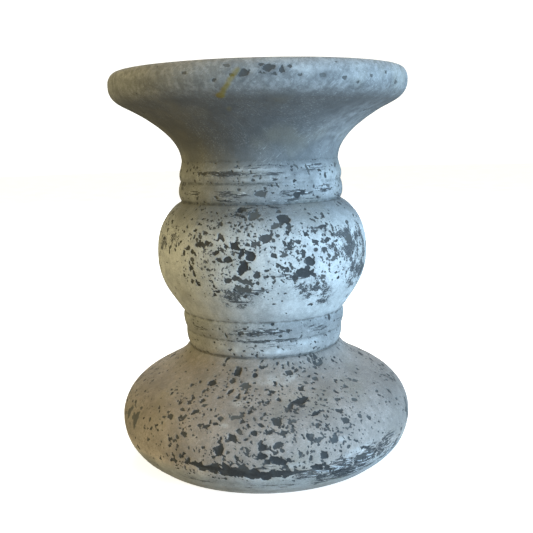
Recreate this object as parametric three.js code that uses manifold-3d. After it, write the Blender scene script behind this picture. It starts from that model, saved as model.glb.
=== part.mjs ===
// Pillar candle holder: five turned sections stacked on a steel tie rod, under one distressed
// stone-effect coat. Millimetres, +Z up, origin on the table under the centre of the felt.
import * as THREE from "three";
import { mergeVertices } from "three/addons/utils/BufferGeometryUtils.js";
import Module from "manifold-3d";

const manifold = await Module();
manifold.setup();

// Overall size, and the widest or narrowest radius of each section
const HEIGHT = 194;
const PLATE_RADIUS = 74;
const BASE_RADIUS = 75;
const BULB_RADIUS = 53.8;
const NECK_RADIUS = 39.7;

// Heights of the joints between the sections
const BASE_TOP = 57.5;
const LOWER_COLLAR_TOP = 75.5;
const BULB_TOP = 131;
const UPPER_COLLAR_TOP = 151;

// Heights of the widest rings
const BASE_WIDEST = 21.5;
const BULB_WIDEST = 104.5;
const RIM_WIDEST = 188;

// Radii of the sections' edges where they meet
const UPPER_COLLAR_EDGE = 41.3;
const BULB_EDGE = 41.9;
const LOWER_COLLAR_EDGE = 41.8;
const LOWER_COLLAR_FOOT = 39.4;
const BASE_EDGE = 39.7;

// Grooves between the collars' beads, and places where one curve hands over to the next,
// as [radius, height]
const UPPER_GROOVE = [40.8, 140.8];
const LOWER_GROOVE = [40.6, 66.4];
const FLARE_START = [65.5, 176.7];
const BELL_TURN = [57.5, 44.6];

// Shape of each curve: how far [out, up] its tangents reach from its start and from its end
const SEAT_EDGE = { leave: [4, 0], arrive: [-3, 0] };
const RIM_UNDERSIDE = { leave: [0, -4.6], arrive: [7.1, 3.4] };
const FLARE = { leave: [-6.3, -3.1], arrive: [0.5, 12.4] };
const NECK_BEAD = { leave: [0.7, -4], arrive: [1.4, 3.4] };
const BULB_SHOULDER = { leave: [10.5, -8], arrive: [0, 8.1] };
const BULB_UNDERSIDE = { leave: [0, -15.4], arrive: [2.8, 6.3] };
const BELL_COVE = { leave: [2.5, -1.8], arrive: [-18.4, 9] };
const BELL_SHOULDER = { leave: [10.4, -5.3], arrive: [0, 10] };
const BELL_FOOT = { leave: [0, -12.4], arrive: [4.5, 2.3] };

// How far each plain bead stands out from the line between its two edges
const BEAD_BULGE = 0.85;
const SMALL_BEAD_BULGE = 0.55;

// Candle seat and foot
const SEAT_DEPTH = 2;
const SEAT_RADIUS = 62;
const RIM_CREST_RADIUS = 69.5;
const FOOT_RADIUS = 62.3;

// Joints: the spigot under each section sits in the socket on top of the next
const GAP = 0.3;
const HALF_GAP = GAP / 2;
const SPIGOT_RADIUS = 16;
const SPIGOT_LENGTH = 9;
const SOCKET_RADIUS = SPIGOT_RADIUS + GAP;
const SOCKET_DEPTH = SPIGOT_LENGTH + GAP;

// Tie rod and its fastenings
const ROD_RADIUS = 4;
const ROD_LENGTH = 150;
const ROD_BOTTOM = 5.5;
const ROD_BEVEL = 0.8;
const BORE_RADIUS = ROD_RADIUS + 0.6;
const INSERT_RADIUS = 6.5;
const INSERT_LENGTH = 15;
const INSERT_RIDGES = 5;
const INSERT_RIDGE_DEPTH = 0.5;
const INSERT_HOLE_DEPTH = 18;
const NUT_ACROSS_FLATS = 13;
const NUT_HEIGHT = 6.5;
const WASHER_RADIUS = 12;
const WASHER_THICKNESS = 1.6;
const COUNTERBORE_RADIUS = 15;
const COUNTERBORE_TOP = 16.5;

// Felt under the base, which stands a little below the foot
const FELT_PROUD = 0.5;
const FELT_THICKNESS = 2.2;
const FELT_RADIUS = 57.7;
const RECESS_RADIUS = FELT_RADIUS + GAP;
const RECESS_TOP = FELT_THICKNESS + GAP;

const SEGMENTS = 48;
const SMALL_SEGMENTS = 32;
const CURVE_STEPS = 7;

const coat = (color) => new THREE.MeshStandardMaterial({ color, roughness: 0.92, metalness: 0 });
const metal = (color) => new THREE.MeshStandardMaterial({ color, roughness: 0.38, metalness: 0.9 });
const felt = new THREE.MeshStandardMaterial({ color: 0x3b3d3c, roughness: 1, metalness: 0 });

const holder = new THREE.Group();

function addPiece(name, geometry, material, height = 0) {
  const mesh = new THREE.Mesh(geometry, material);
  mesh.name = name;
  mesh.position.z = height;
  holder.add(mesh);
}

// Turns a closed outline of (radius, height) points about the vertical axis. The outer side has
// to run upwards for the faces to point outwards, so an outline drawn the other way is reversed.
function turned(outline, segments = SEGMENTS) {
  const points = outline.getPoints(CURVE_STEPS);
  if (THREE.ShapeUtils.area(points) < 0) points.reverse();
  return new THREE.LatheGeometry(points, segments).rotateX(Math.PI / 2);
}

function curveTo(outline, [radius, height], { leave, arrive }) {
  const start = outline.currentPoint;
  const first = [start.x + leave[0], start.y + leave[1]];
  const second = [radius + arrive[0], height + arrive[1]];
  outline.bezierCurveTo(...first, ...second, radius, height);
}

function beadTo(outline, [radius, height], bulge) {
  const start = outline.currentPoint;
  const control = [(start.x + radius) / 2 + 2 * bulge, (start.y + height) / 2];
  outline.quadraticCurveTo(...control, radius, height);
}

// Starts a bored section's outline at the spigot's end, up the bore, round the socket and out.
function boreAndSocket(bottom, top, edgeRadius) {
  const outline = new THREE.Path();
  outline.moveTo(BORE_RADIUS, bottom);
  outline.lineTo(BORE_RADIUS, top - SOCKET_DEPTH);
  outline.lineTo(SOCKET_RADIUS, top - SOCKET_DEPTH);
  outline.lineTo(SOCKET_RADIUS, top);
  outline.lineTo(edgeRadius, top);
  return outline;
}

// Carries an outline in from a section's lower edge, down its spigot and in to a hole's edge.
function spigotUnder(outline, height, holeRadius) {
  outline.lineTo(SPIGOT_RADIUS, height);
  outline.lineTo(SPIGOT_RADIUS, height - SPIGOT_LENGTH);
  outline.lineTo(holeRadius, height - SPIGOT_LENGTH);
}

// Dished seat, rounded rim, and a flare that sweeps in to the neck
function candlePlate() {
  const seat = HEIGHT - SEAT_DEPTH;
  const bottom = UPPER_COLLAR_TOP + HALF_GAP;
  const holeRadius = INSERT_RADIUS + GAP;
  const holeTop = bottom - SPIGOT_LENGTH + INSERT_HOLE_DEPTH;
  const rimWidth = PLATE_RADIUS - RIM_CREST_RADIUS;
  const outline = new THREE.Path();
  outline.moveTo(0, seat);
  outline.lineTo(SEAT_RADIUS, seat);
  curveTo(outline, [RIM_CREST_RADIUS, HEIGHT], SEAT_EDGE);
  outline.absellipse(
    RIM_CREST_RADIUS, RIM_WIDEST, rimWidth, HEIGHT - RIM_WIDEST, Math.PI / 2, 0, true, 0);
  curveTo(outline, FLARE_START, RIM_UNDERSIDE);
  curveTo(outline, [NECK_RADIUS, bottom], FLARE);
  spigotUnder(outline, bottom, holeRadius);
  outline.lineTo(holeRadius, holeTop);
  outline.lineTo(0, holeTop);
  addPiece("candle_plate", turned(outline), coat(0x8f9693));
}

// Two soft beads under the neck, the upper one running up into it
function upperCollar() {
  const bottom = BULB_TOP + HALF_GAP;
  const outline = boreAndSocket(bottom - SPIGOT_LENGTH, UPPER_COLLAR_TOP - HALF_GAP, NECK_RADIUS);
  curveTo(outline, UPPER_GROOVE, NECK_BEAD);
  beadTo(outline, [UPPER_COLLAR_EDGE, bottom], BEAD_BULGE);
  spigotUnder(outline, bottom, BORE_RADIUS);
  outline.closePath();
  addPiece("upper_collar", turned(outline), coat(0x9ba09a));
}

// Flattened ball, a little fuller below its middle
function bulb() {
  const bottom = LOWER_COLLAR_TOP + HALF_GAP;
  const outline = boreAndSocket(bottom - SPIGOT_LENGTH, BULB_TOP - HALF_GAP, BULB_EDGE);
  curveTo(outline, [BULB_RADIUS, BULB_WIDEST], BULB_SHOULDER);
  curveTo(outline, [BULB_EDGE, bottom], BULB_UNDERSIDE);
  spigotUnder(outline, bottom, BORE_RADIUS);
  outline.closePath();
  addPiece("bulb", turned(outline), coat(0xb9c0ba));
}

// Two soft beads over the base, the lower one smaller
function lowerCollar() {
  const bottom = BASE_TOP + HALF_GAP;
  const top = LOWER_COLLAR_TOP - HALF_GAP;
  const outline = boreAndSocket(bottom - SPIGOT_LENGTH, top, LOWER_COLLAR_EDGE);
  beadTo(outline, LOWER_GROOVE, SMALL_BEAD_BULGE);
  beadTo(outline, [LOWER_COLLAR_FOOT, bottom], SMALL_BEAD_BULGE);
  spigotUnder(outline, bottom, BORE_RADIUS);
  outline.closePath();
  addPiece("lower_collar", turned(outline), coat(0xa8aea9));
}

// Bell-shaped foot with a counterbore for the nut and a recess for the felt
function base() {
  const outline = boreAndSocket(COUNTERBORE_TOP, BASE_TOP - HALF_GAP, BASE_EDGE);
  curveTo(outline, BELL_TURN, BELL_COVE);
  curveTo(outline, [BASE_RADIUS, BASE_WIDEST], BELL_SHOULDER);
  curveTo(outline, [FOOT_RADIUS, FELT_PROUD], BELL_FOOT);
  outline.lineTo(RECESS_RADIUS, FELT_PROUD);
  outline.lineTo(RECESS_RADIUS, RECESS_TOP);
  outline.lineTo(COUNTERBORE_RADIUS, RECESS_TOP);
  outline.lineTo(COUNTERBORE_RADIUS, COUNTERBORE_TOP);
  outline.closePath();
  addPiece("base", turned(outline), coat(0x9ca19d));
}

// Steel rod with bevelled ends that draws the sections together
function tieRod() {
  const outline = new THREE.Path();
  outline.moveTo(0, 0);
  outline.lineTo(ROD_RADIUS - ROD_BEVEL, 0);
  outline.lineTo(ROD_RADIUS, ROD_BEVEL);
  outline.lineTo(ROD_RADIUS, ROD_LENGTH - ROD_BEVEL);
  outline.lineTo(ROD_RADIUS - ROD_BEVEL, ROD_LENGTH);
  outline.lineTo(0, ROD_LENGTH);
  addPiece("tie_rod", turned(outline, SMALL_SEGMENTS), metal(0xa7aaad), ROD_BOTTOM);
}

// Ridged brass sleeve in the plate's spigot, which the rod screws into
function threadedInsert() {
  const inner = ROD_RADIUS + GAP;
  const rootRadius = INSERT_RADIUS - INSERT_RIDGE_DEPTH;
  const pitch = INSERT_LENGTH / INSERT_RIDGES;
  const outline = new THREE.Path();
  outline.moveTo(inner, 0);
  outline.lineTo(rootRadius, 0);
  for (let ridge = 0; ridge < INSERT_RIDGES; ridge++) {
    outline.lineTo(INSERT_RADIUS, (ridge + 0.5) * pitch);
    outline.lineTo(rootRadius, (ridge + 1) * pitch);
  }
  outline.lineTo(inner, INSERT_LENGTH);
  outline.closePath();
  const height = UPPER_COLLAR_TOP - SPIGOT_LENGTH + GAP;
  addPiece("threaded_insert", turned(outline, SMALL_SEGMENTS), metal(0xb39a5c), height);
}

// A closed geometry as a manifold-3d solid, which needs its shared vertices merged.
function solid(geometry) {
  const bare = geometry.clone();
  bare.deleteAttribute("normal");
  bare.deleteAttribute("uv");
  const merged = mergeVertices(bare);
  const vertProperties = merged.attributes.position.array;
  const triVerts = new Uint32Array(merged.index.array);
  return new manifold.Manifold(new manifold.Mesh({ numProp: 3, vertProperties, triVerts }));
}

function fromSolid(made) {
  const { vertProperties, triVerts } = made.getMesh();
  const geometry = new THREE.BufferGeometry();
  geometry.setAttribute("position", new THREE.BufferAttribute(vertProperties, 3));
  geometry.setIndex(new THREE.BufferAttribute(triVerts, 1));
  return geometry;
}

// Hexagonal prism with a hole, whose corners are turned off by a bevelled disc
function nut() {
  const cornerRadius = NUT_ACROSS_FLATS / Math.sqrt(3);
  const bevel = cornerRadius - NUT_ACROSS_FLATS / 2;
  const corners = [0, 1, 2, 3, 4, 5].map((side) => (side * Math.PI) / 3);
  const hexagon = new THREE.Shape(
    corners.map((a) => new THREE.Vector2(Math.cos(a), Math.sin(a)).multiplyScalar(cornerRadius)));
  hexagon.holes.push(new THREE.Path().absarc(0, 0, ROD_RADIUS + GAP, 0, 2 * Math.PI));
  const options = { depth: NUT_HEIGHT, bevelEnabled: false, curveSegments: SMALL_SEGMENTS / 2 };
  const prism = new THREE.ExtrudeGeometry(hexagon, options);
  const disc = new THREE.Path();
  disc.moveTo(0, 0);
  disc.lineTo(cornerRadius - bevel, 0);
  disc.lineTo(cornerRadius, bevel);
  disc.lineTo(cornerRadius, NUT_HEIGHT - bevel);
  disc.lineTo(cornerRadius - bevel, NUT_HEIGHT);
  disc.lineTo(0, NUT_HEIGHT);
  const chamfered = solid(prism).intersect(solid(turned(disc, SMALL_SEGMENTS)));
  const height = COUNTERBORE_TOP - WASHER_THICKNESS - 2 * GAP - NUT_HEIGHT;
  addPiece("nut", fromSolid(chamfered), metal(0x9c9fa2), height);
}

function washer() {
  const inner = ROD_RADIUS + GAP;
  const outline = new THREE.Path();
  outline.moveTo(inner, 0);
  outline.lineTo(WASHER_RADIUS, 0);
  outline.lineTo(WASHER_RADIUS, WASHER_THICKNESS);
  outline.lineTo(inner, WASHER_THICKNESS);
  outline.closePath();
  const height = COUNTERBORE_TOP - WASHER_THICKNESS - GAP;
  addPiece("washer", turned(outline, SMALL_SEGMENTS), metal(0xa3a6a8), height);
}

// Felt disc glued in the recess, which covers the nut and rests on the table
function feltPad() {
  const outline = new THREE.Path();
  outline.moveTo(0, 0);
  outline.lineTo(FELT_RADIUS, 0);
  outline.lineTo(FELT_RADIUS, FELT_THICKNESS);
  outline.lineTo(0, FELT_THICKNESS);
  addPiece("felt_pad", turned(outline), felt);
}

candlePlate();
upperCollar();
bulb();
lowerCollar();
base();
threadedInsert();
tieRod();
washer();
nut();
feltPad();

export default holder;
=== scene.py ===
"""Looks of the turned pillar candle holder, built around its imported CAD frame.

Each turned section is a dense closed mesh that follows its CAD node's own outline, with the coat's
chips, dents and joint grooves pressed into it. Lengths here are millimetres until a mesh is made.
Azimuths are degrees from the front (-Y), positive towards +X. Heights are above the table.
"""
import math

import bpy
import numpy as np
from mathutils import Matrix, Vector


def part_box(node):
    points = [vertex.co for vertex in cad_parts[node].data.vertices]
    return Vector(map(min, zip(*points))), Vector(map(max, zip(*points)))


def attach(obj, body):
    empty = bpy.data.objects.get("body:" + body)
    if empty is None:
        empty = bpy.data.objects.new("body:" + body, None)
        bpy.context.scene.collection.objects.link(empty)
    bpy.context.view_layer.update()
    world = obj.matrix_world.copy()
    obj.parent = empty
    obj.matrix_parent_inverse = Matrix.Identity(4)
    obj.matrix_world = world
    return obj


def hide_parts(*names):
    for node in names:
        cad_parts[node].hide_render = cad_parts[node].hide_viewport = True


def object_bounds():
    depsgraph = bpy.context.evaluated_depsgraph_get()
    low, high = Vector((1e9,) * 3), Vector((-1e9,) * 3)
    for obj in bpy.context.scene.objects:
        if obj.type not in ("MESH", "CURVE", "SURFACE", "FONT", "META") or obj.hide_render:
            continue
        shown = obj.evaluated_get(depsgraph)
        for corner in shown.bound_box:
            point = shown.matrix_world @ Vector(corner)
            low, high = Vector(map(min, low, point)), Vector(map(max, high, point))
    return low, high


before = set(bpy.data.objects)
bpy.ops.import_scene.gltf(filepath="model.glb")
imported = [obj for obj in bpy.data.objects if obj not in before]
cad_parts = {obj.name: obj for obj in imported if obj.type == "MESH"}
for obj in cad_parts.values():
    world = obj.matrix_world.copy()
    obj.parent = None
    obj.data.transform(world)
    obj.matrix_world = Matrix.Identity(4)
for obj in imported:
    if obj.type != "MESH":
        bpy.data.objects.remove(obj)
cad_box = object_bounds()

MM = 0.001
TURN = 2 * math.pi
COLUMNS = 600  # vertices round each turned section
FINE_STEP = 0.6  # spacing of the rings down a section's outside
SEAT_STEP = 1.0  # spacing of the rings across the flat seat
CORNER_TURN = math.radians(20)  # an outline turning more than this at a point has a corner there
SPECK_STRIDE = 12  # specks are set on every 12th column, and the ones between are interpolated
CHIP_REACH = 1.2  # the chip attribute runs from 0 to 1 over this distance either side of an edge
SHARP_TURN = math.radians(62)  # faces meeting at more than this are shaded as an edge
DEEPEST_CHIP = 0.42
LEAST_CRUMBLED = 1.8  # longer chips than this have crumbs of chip round them
CLUSTER_SIZE = 15  # of the patches where small chips are dense or sparse
SEAM_GROOVES = (0.0, 0.5, 0.45, 0.5)  # depth of the groove where each section meets the next
SEAM_WIDTH = 1.7
SEAM_GAP = 0.01  # left between two sections' faces
RELIEF_WIDTH = 1.7  # an outline is compared with itself smoothed over this distance
ROUGHNESS = ((0.16, 48, 3), (0.1, 14, 5), (0.05, 4.5, 7), (0.03, 1.7, 9))  # depth, size, seed
TOOL_MARKS = 0.03  # depth of the faint lines that turning leaves round a section
SEAT_CALM = 0.93  # how much less rough the flat seat is
SEAT_EDGE = 3  # distance over which the seat's calm fades out past its edge
FOOT_CALM = (0.4, 2.0)  # the foot's roughness fades in between these heights
WAX_HEIGHT = 0.16
BACK_COPIES = ((127, 1), (236, -1))  # the turns at which the front's marks recur, and mirrored or not
BACK_SHIFT = (6, 2.5)  # how far a copied mark strays: degrees round, and height


# ------------------------ noise

def gradient_noise(points, size, seed):
    """Smooth noise from about -1 to 1 at points (..., 3), with features about size across."""
    rng = np.random.default_rng(seed)
    table = rng.permutation(256)
    slopes = rng.normal(size=(256, 3))
    slopes /= np.linalg.norm(slopes, axis=1)[:, None]
    scaled = np.asarray(points) / size + 100.0
    cell = np.floor(scaled).astype(np.int64)
    local = scaled - cell
    fade = local ** 3 * (local * (local * 6 - 15) + 10)
    total = np.zeros(scaled.shape[:-1])
    for corner in np.ndindex(2, 2, 2):
        row = table[(cell[..., 0] + corner[0]) & 255]
        row = table[(row + cell[..., 1] + corner[1]) & 255]
        row = table[(row + cell[..., 2] + corner[2]) & 255]
        height = (slopes[row] * (local - np.array(corner))).sum(-1)
        weight = np.where(np.array(corner) == 1, fade, 1 - fade).prod(-1)
        total += height * weight
    return total * 1.7


def smoothstep(low, high, value):
    t = np.clip((value - low) / (high - low), 0, 1)
    return t * t * (3 - 2 * t)


# ------------------------ outlines

def meridian(node):
    """A CAD node's outline as ordered (radius, height) points, and whether it closes on itself."""
    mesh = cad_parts[node].data
    places = {}
    for vertex in mesh.vertices:
        x, y, z = (c / MM for c in vertex.co)
        if abs(x) < 0.01 and y < 0.01:
            places[vertex.index] = (round(-y, 2) + 0.0, round(z, 2))
    neighbours = {}
    for edge in mesh.edges:
        ends = [places.get(i) for i in edge.vertices]
        if None not in ends and ends[0] != ends[1]:
            neighbours.setdefault(ends[0], set()).add(ends[1])
            neighbours.setdefault(ends[1], set()).add(ends[0])
    ends = sorted(p for p, near in neighbours.items() if len(near) == 1)
    walk = [ends[0] if ends else min(neighbours)]
    while True:
        onward = sorted(p for p in neighbours[walk[-1]] if p not in walk)
        if not onward:
            break
        walk.append(onward[0])
    points = np.array(walk)
    r, z = points.T
    area = (r * np.roll(z, -1) - np.roll(r, -1) * z).sum()
    if area > 0:
        points = points[::-1]
    return points, not ends


def split_outline(points, closed):
    """The outside of a section, from its top down, and the rest, from its bottom edge inwards."""
    outside = points[:, 0] > points[:, 0].max() / 2
    if closed:
        first = next(i for i in range(len(points)) if outside[i] and not outside[i - 1])
        points = np.roll(points, -first, axis=0)
        outside = np.roll(outside, -first)
        count = int(np.argmin(outside))
        return points[:count], points[count:]
    first = int(np.argmax(outside))
    count = first + int(np.argmin(outside[first:]))
    return points[:count], points[count:]


def hermite(a, b, slope_a, slope_b, length, t):
    t = t[:, None]
    near = a * (2 * t ** 3 - 3 * t ** 2 + 1) + slope_a * length * (t ** 3 - 2 * t ** 2 + t)
    far = b * (3 * t ** 2 - 2 * t ** 3) + slope_b * length * (t ** 3 - t ** 2)
    return near + far


def smooth_stretch(points, step):
    """Evenly spaced points on a smooth curve through a stretch of outline with no corner in it."""
    chords = np.diff(points, axis=0)
    lengths = np.linalg.norm(chords, axis=1)
    slopes = chords / lengths[:, None]
    tangents = np.empty_like(points)
    if len(points) > 2:
        before, after = lengths[:-1, None], lengths[1:, None]
        tangents[1:-1] = (slopes[1:] * before + slopes[:-1] * after) / (before + after)
        tangents[0] = 2 * slopes[0] - tangents[1]
        tangents[-1] = 2 * slopes[-1] - tangents[-2]
    else:
        tangents[:] = slopes[0]
    t = np.linspace(0, 1, 24, endpoint=False)
    pieces = [
        hermite(points[i], points[i + 1], tangents[i], tangents[i + 1], lengths[i], t)
        for i in range(len(chords))
    ]
    dense = np.vstack(pieces + [points[-1:]])
    along = np.r_[0, np.cumsum(np.linalg.norm(np.diff(dense, axis=0), axis=1))]
    count = max(1, round(along[-1] / step))
    even = np.linspace(0, along[-1], count + 1)
    return np.column_stack([np.interp(even, along, dense[:, k]) for k in (0, 1)])


def fine_outline(points):
    """The outline resampled in even steps, with its corners kept."""
    chords = np.diff(points, axis=0)
    lengths = np.linalg.norm(chords, axis=1)
    heading = np.unwrap(np.arctan2(chords[:, 1], chords[:, 0]))
    turn = np.abs(np.diff(heading))
    ratio = lengths[1:] / lengths[:-1]
    is_corner = (turn > CORNER_TURN) | (ratio > 6) | (ratio < 1 / 6)
    breaks = [0] + [i + 1 for i in range(len(turn)) if is_corner[i]] + [len(points) - 1]
    out = [points[:1]]
    for a, b in zip(breaks, breaks[1:]):
        across_seat = points[a][0] == 0
        out.append(smooth_stretch(points[a:b + 1], SEAT_STEP if across_seat else FINE_STEP)[1:])
    return np.vstack(out)


# ------------------------ a turned section

class Skin:
    """The outside of one turned section as a grid of rings by columns, with its surface fields."""

    FIELDS = ("tone", "warmth", "speck", "scuff", "streak", "pale", "wax")

    def __init__(self, node):
        self.node = node
        self.outline, self.closed = meridian(node)
        outside, self.inside = split_outline(self.outline, self.closed)
        self.rings = fine_outline(outside)
        self.run = np.r_[0, np.cumsum(np.linalg.norm(np.diff(self.rings, axis=0), axis=1))]
        tangent = np.gradient(self.rings, axis=0)
        tangent /= np.linalg.norm(tangent, axis=1)[:, None]
        self.normal = np.column_stack([-tangent[:, 1], tangent[:, 0]])
        azimuth = np.arange(COLUMNS) * TURN / COLUMNS
        self.around = np.column_stack([np.sin(azimuth), -np.cos(azimuth)])
        self.points = np.empty((len(self.rings), COLUMNS, 3))
        self.points[..., :2] = self.rings[:, 0, None, None] * self.around
        self.points[..., 2] = self.rings[:, 1, None]
        shape = self.points.shape[:2]
        self.edge = np.full(shape, -9.0)  # distance into the nearest chip
        self.dark = np.full(shape, 0.85)  # how dark that chip is
        self.depth = np.zeros(shape)  # how far the chips are sunk
        self.fields = {name: np.zeros(shape) for name in self.FIELDS}
        coarse = [gradient_noise(self.points, 2.1, seed) for seed in (11, 12)]
        fine = [gradient_noise(self.points, 1.0, seed) for seed in (21, 22)]
        self.warp = [0.42 * a + 0.26 * b for a, b in zip(coarse, fine)]

    def holds(self, height):
        """Whether a height is on this section."""
        return self.rings[-1, 1] < height < self.rings[:, 1].max()

    def run_at(self, height):
        """Distance down the outside to a height: the outermost place if there are several."""
        return self.run[np.flatnonzero(self.rings[:, 1] >= height)[-1]]

    def window(self, azimuth, run, reach):
        """The grid cells within reach of a place, with their offsets from it."""
        rings = np.flatnonzero(np.abs(self.run - run) < reach)
        middle = self.rings[rings[len(rings) // 2], 0]
        half = min(COLUMNS // 2 - 1, int(reach / max(middle, 3) * COLUMNS / TURN) + 1)
        centre = round(azimuth / TURN * COLUMNS)
        columns = np.arange(centre - half, centre + half + 1)
        offset = columns * TURN / COLUMNS - azimuth
        across = offset[None, :] * self.rings[rings, 0][:, None]
        down = np.repeat((self.run[rings] - run)[:, None], len(columns), axis=1)
        return np.ix_(rings, columns % COLUMNS), across, down

    def flake(self, azimuth, run, length, width, tilt, dark, rng):
        """Knocks off one angular flake of coat."""
        sides = int(rng.integers(5, 9))
        facing = (np.arange(sides) + rng.uniform(-0.35, 0.35, sides)) * TURN / sides
        facing += rng.uniform(0, TURN)
        reach = 0.97 + rng.uniform(-0.24, 0.14, sides)  # how far out each side is
        cells, across, down = self.window(azimuth, run, length * 0.8 + 1.5)
        across = across + self.warp[0][cells]
        down = down + self.warp[1][cells]
        u, v = along_mark(across, down, length, width, tilt)
        inside = np.full(u.shape, 9.0)
        for angle, limit in zip(facing, reach):
            inside = np.minimum(inside, limit - u * math.cos(angle) - v * math.sin(angle))
        inside *= (length + width) / 4
        deeper = inside > self.edge[cells]
        self.edge[cells] = np.where(deeper, inside, self.edge[cells])
        self.dark[cells] = np.where(deeper, dark, self.dark[cells])
        sunk = min(DEEPEST_CHIP, 0.14 + 0.06 * min(length, width)) * (0.35 + 0.65 * dark)
        pressed = sunk * smoothstep(-0.15, 0.35, inside)
        self.depth[cells] = np.maximum(self.depth[cells], pressed)

    def chip(self, azimuth, height, length, width, tilt, dark, rng):
        """A chip in the coat: one flake, with crumbs round a big one."""
        if not self.holds(height):
            return
        place, run = math.radians(azimuth), self.run_at(height)
        self.flake(place, run, length, width, tilt, dark, rng)
        radius = self.rings[np.searchsorted(self.run, run), 0]
        for _ in range(int(max(0, length - LEAST_CRUMBLED) * 1.1)):
            angle = rng.uniform(0, TURN)
            away = rng.uniform(0.42, 0.78)
            side, drop = math.cos(angle) * length * away, math.sin(angle) * width * away
            lean = math.radians(tilt)
            across = side * math.cos(lean) + drop * math.sin(lean)
            down = drop * math.cos(lean) - side * math.sin(lean)
            size = length * rng.uniform(0.14, 0.4)
            crumb_run = np.clip(run + down, 0, self.run[-1])
            self.flake(place + across / radius, crumb_run, size, size * rng.uniform(0.5, 0.9),
                       rng.uniform(-60, 60), dark * rng.uniform(0.8, 1), rng)

    def patch(self, name, azimuth, height, length, width, strength, tilt=0):
        """Adds a soft-edged patch to a field, at a height that may be past this section's ends."""
        if self.holds(height):
            place = math.radians(azimuth), self.run_at(height)
            self.blot(name, *place, length, width, strength, tilt)

    def blot(self, name, azimuth, run, length, width, strength, tilt=0):
        """Adds a soft-edged patch to a field, at a distance down the outside."""
        cells, inside = self.soft_spot(azimuth, run, length, width, tilt)
        self.fields[name][cells] = np.maximum(self.fields[name][cells], strength * inside)

    def shade(self, azimuth, height, length, width, change):
        """Makes the coat lighter or darker in a soft-edged patch."""
        place = math.radians(azimuth), self.run_at(height)
        cells, inside = self.soft_spot(*place, length, width, 0)
        self.fields["tone"][cells] += change * inside

    def soft_spot(self, azimuth, run, length, width, tilt):
        """The cells round a spot, and how far inside it each is: 1 at its middle, 0 outside."""
        cells, across, down = self.window(azimuth, run, length)
        u, v = along_mark(across, down, length, width, tilt)
        return cells, 1 - smoothstep(0.3, 1.3, np.hypot(u, v))

    def scatter(self, count, size, largest, dark, keep, rng):
        """Small random chips all round, more of them where keep(azimuth, height) is near 1."""
        weight = self.rings[:, 0] * np.gradient(self.run)
        weight /= weight.sum()
        for _ in range(count):
            ring = int(rng.choice(len(self.rings), p=weight))
            column = int(rng.integers(COLUMNS))
            length = min(largest, size * math.exp(rng.normal() * 0.5))
            width = length / rng.uniform(1, 1.9)
            tilt = rng.normal() * 40
            tone = rng.uniform(*dark)
            chance = rng.uniform()
            clustering = 0.7 + gradient_noise(self.points[ring, column], CLUSTER_SIZE, 31)
            azimuth = (column / COLUMNS * 360 + 180) % 360 - 180
            if chance < clustering * keep(azimuth, self.rings[ring, 1]):
                place = column * TURN / COLUMNS
                self.flake(place, self.run[ring], length, width, tilt, tone, rng)


def along_mark(across, down, length, width, tilt):
    """Offsets along and across a mark whose long side tilts up to the right: 1 is its edge."""
    c, s = math.cos(math.radians(tilt)), math.sin(math.radians(tilt))
    return (across * c - down * s) * 2 / length, (across * s + down * c) * 2 / width


def all_round(marks, rng):
    """The front's marks, then the same kinds of mark in other places round the back."""
    yield from marks
    for turn, side in BACK_COPIES:
        for azimuth, height, *rest in marks:
            moved = turn + side * azimuth + rng.normal() * BACK_SHIFT[0]
            yield moved, height + rng.normal() * BACK_SHIFT[1], *rest


def relief(skins):
    """For each skin's rings: above 0 where the whole outline stands out, below 0 in a groove."""
    rings = np.vstack([skin.rings for skin in skins])
    run = np.r_[0, np.cumsum(np.linalg.norm(np.diff(rings, axis=0), axis=1))]
    normal = np.vstack([skin.normal for skin in skins])
    near = np.exp(-0.5 * ((run[:, None] - run[None, :]) / RELIEF_WIDTH) ** 2)
    near /= near.sum(1)[:, None]
    found = ((rings - near @ rings) * normal).sum(1)
    to_end = np.minimum(run, run[-1] - run)
    found *= np.minimum(1, to_end / 8)  # nothing lies past the two ends to compare with
    return np.split(found, np.cumsum([len(skin.rings) for skin in skins])[:-1])


class Seam:
    """Where one section meets the next: both are drawn to one radius and height there."""

    def __init__(self, upper, lower, groove):
        self.radius = min(upper.rings[-1, 0], lower.rings[0, 0]) - groove
        self.height = (upper.rings[-1, 1] + lower.rings[0, 1]) / 2

    def draw(self, skin, at_top):
        """How far each ring moves to meet the seam, and how strongly the seam holds it."""
        end = 0 if at_top else -1
        distance = np.abs(skin.run - skin.run[end])
        hold = np.exp(-(distance / SEAM_WIDTH) ** 2)
        side = -SEAM_GAP if at_top else SEAM_GAP
        target = np.array([self.radius, self.height + side])
        return (target - skin.rings[end]) * hold[:, None], hold


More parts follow.
